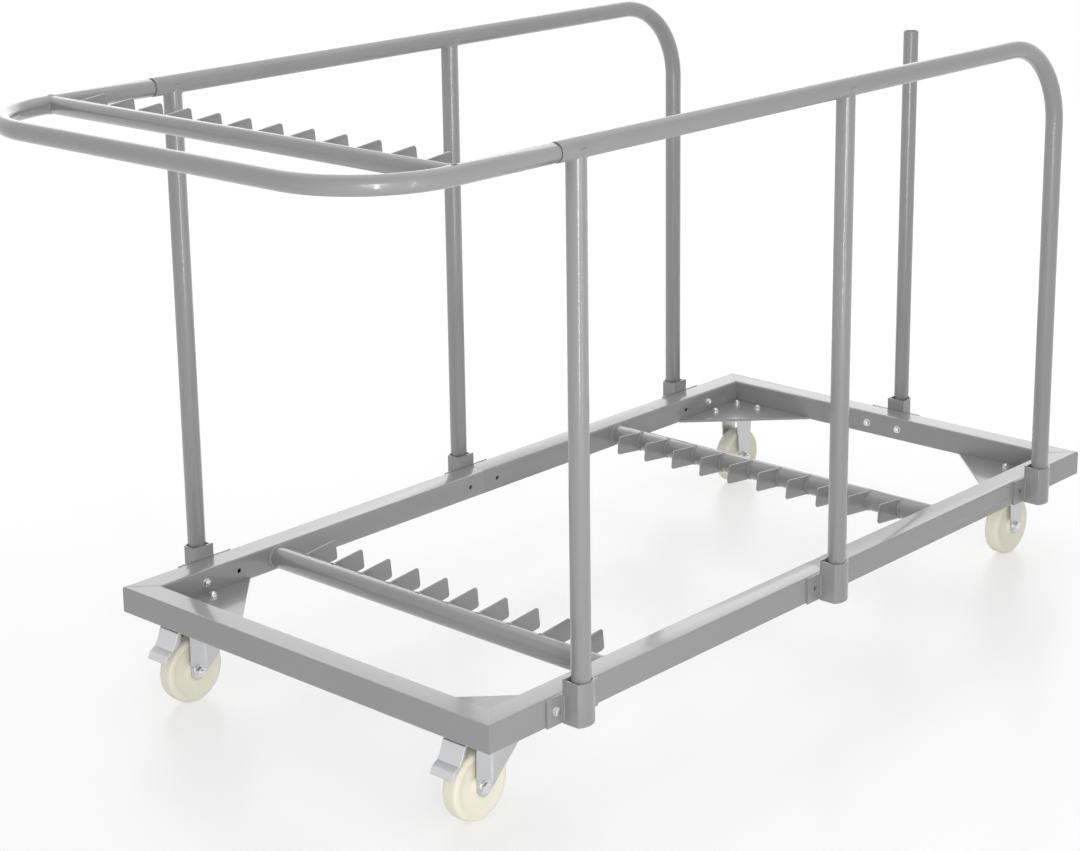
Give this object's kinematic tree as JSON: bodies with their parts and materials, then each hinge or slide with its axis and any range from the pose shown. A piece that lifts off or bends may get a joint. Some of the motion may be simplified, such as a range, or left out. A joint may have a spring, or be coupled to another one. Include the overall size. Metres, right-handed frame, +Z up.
{
  "type": "banquet table trolley",
  "caption": "Steel trolley with a square-tube base on casters, tube side frames, a push handle and combed cross bars that keep folded round tables standing on edge.",
  "frame": {"origin": "on the floor under the middle of the trolley's box", "axes": "+X from the push handle to the rear, +Y to the left when pushing, +Z up"},
  "size_m": [2.114, 1.006, 1.1276],
  "materials": {
    "powder_coated_steel": "semi-gloss silver-grey powder coat",
    "zinc_sheet": "bright zinc plate on pressed steel",
    "zinc_fasteners": "bright zinc plate",
    "cream_plastic": "smooth moulded polyamide, cream"
  },
  "bodies": {
    "frame": {"base_front_half": "powder_coated_steel", "base_rear_half": "powder_coated_steel", "splice_tubes": "powder_coated_steel", "corner_gussets": "powder_coated_steel", "front_lower_bar": "powder_coated_steel", "front_lower_fins": "powder_coated_steel", "rear_lower_bar": "powder_coated_steel", "rear_lower_fins": "powder_coated_steel", "upper_bar": "powder_coated_steel", "upper_fins_comb": "powder_coated_steel", "push_handle": "powder_coated_steel", "side_rail_left": "powder_coated_steel", "side_rail_right": "powder_coated_steel", "front_post_left": "powder_coated_steel", "front_post_right": "powder_coated_steel", "middle_post_left": "powder_coated_steel", "middle_post_right": "powder_coated_steel", "front_socket_left": "powder_coated_steel", "front_socket_right": "powder_coated_steel", "middle_socket_left": "powder_coated_steel", "middle_socket_right": "powder_coated_steel", "rear_socket_left": "powder_coated_steel", "rear_socket_right": "powder_coated_steel", "lift_out_post_socket": "powder_coated_steel", "socket_bolts": "zinc_fasteners", "socket_nuts": "zinc_fasteners", "caster_bolts": "zinc_fasteners", "caster_nuts": "zinc_fasteners", "front_left_caster_plate": "zinc_sheet", "front_left_king_pin": "zinc_sheet", "rear_left_caster_plate": "zinc_sheet", "rear_left_fork": "zinc_sheet", "rear_left_axle_bush": "zinc_sheet", "rear_left_axle_bolt": "zinc_fasteners", "front_right_caster_plate": "zinc_sheet", "front_right_king_pin": "zinc_sheet", "rear_right_caster_plate": "zinc_sheet", "rear_right_fork": "zinc_sheet", "rear_right_axle_bush": "zinc_sheet", "rear_right_axle_bolt": "zinc_fasteners"},
    "lift_out_post": {"rear_lift_out_post": "powder_coated_steel"},
    "front_left_swivel": {"front_left_race_balls": "zinc_fasteners", "front_left_fork": "zinc_sheet", "front_left_axle_bush": "zinc_sheet", "front_left_axle_bolt": "zinc_fasteners", "front_left_pedal_pin": "zinc_fasteners"},
    "front_left_wheel": {"front_left_wheel": "cream_plastic"},
    "front_left_pedal": {"front_left_brake_pedal": "zinc_sheet"},
    "rear_left_wheel": {"rear_left_wheel": "cream_plastic"},
    "front_right_swivel": {"front_right_race_balls": "zinc_fasteners", "front_right_fork": "zinc_sheet", "front_right_axle_bush": "zinc_sheet", "front_right_axle_bolt": "zinc_fasteners", "front_right_pedal_pin": "zinc_fasteners"},
    "front_right_wheel": {"front_right_wheel": "cream_plastic"},
    "front_right_pedal": {"front_right_brake_pedal": "zinc_sheet"},
    "rear_right_wheel": {"rear_right_wheel": "cream_plastic"}
  },
  "joints": [
    {"name": "rear_post_lift", "type": "slide", "parent": "frame", "child": "lift_out_post", "axis": [0, 0, 1], "range_m": [0, 0.1]},
    {"name": "front_left_swivel", "type": "hinge", "parent": "frame", "child": "front_left_swivel", "pos_m": [-0.674, 0.36, 0.1575], "axis": [0, 0, 1], "continuous": true},
    {"name": "front_left_wheel", "type": "hinge", "parent": "front_left_swivel", "child": "front_left_wheel", "pos_m": [-0.719, 0.36, 0.0625], "axis": [0, 1, 0], "continuous": true},
    {"name": "front_left_brake", "type": "hinge", "parent": "front_left_swivel", "child": "front_left_pedal", "pos_m": [-0.717, 0.36, 0.137], "axis": [0, -1, 0], "range_deg": [0, 6]},
    {"name": "rear_left_wheel", "type": "hinge", "parent": "frame", "child": "rear_left_wheel", "pos_m": [0.902, 0.36, 0.0625], "axis": [0, 1, 0], "continuous": true},
    {"name": "front_right_swivel", "type": "hinge", "parent": "frame", "child": "front_right_swivel", "pos_m": [-0.674, -0.36, 0.1575], "axis": [0, 0, 1], "continuous": true},
    {"name": "front_right_wheel", "type": "hinge", "parent": "front_right_swivel", "child": "front_right_wheel", "pos_m": [-0.719, -0.36, 0.0625], "axis": [0, 1, 0], "continuous": true},
    {"name": "front_right_brake", "type": "hinge", "parent": "front_right_swivel", "child": "front_right_pedal", "pos_m": [-0.717, -0.36, 0.137], "axis": [0, -1, 0], "range_deg": [0, 6]},
    {"name": "rear_right_wheel", "type": "hinge", "parent": "frame", "child": "rear_right_wheel", "pos_m": [0.902, -0.36, 0.0625], "axis": [0, 1, 0], "continuous": true}
  ]
}
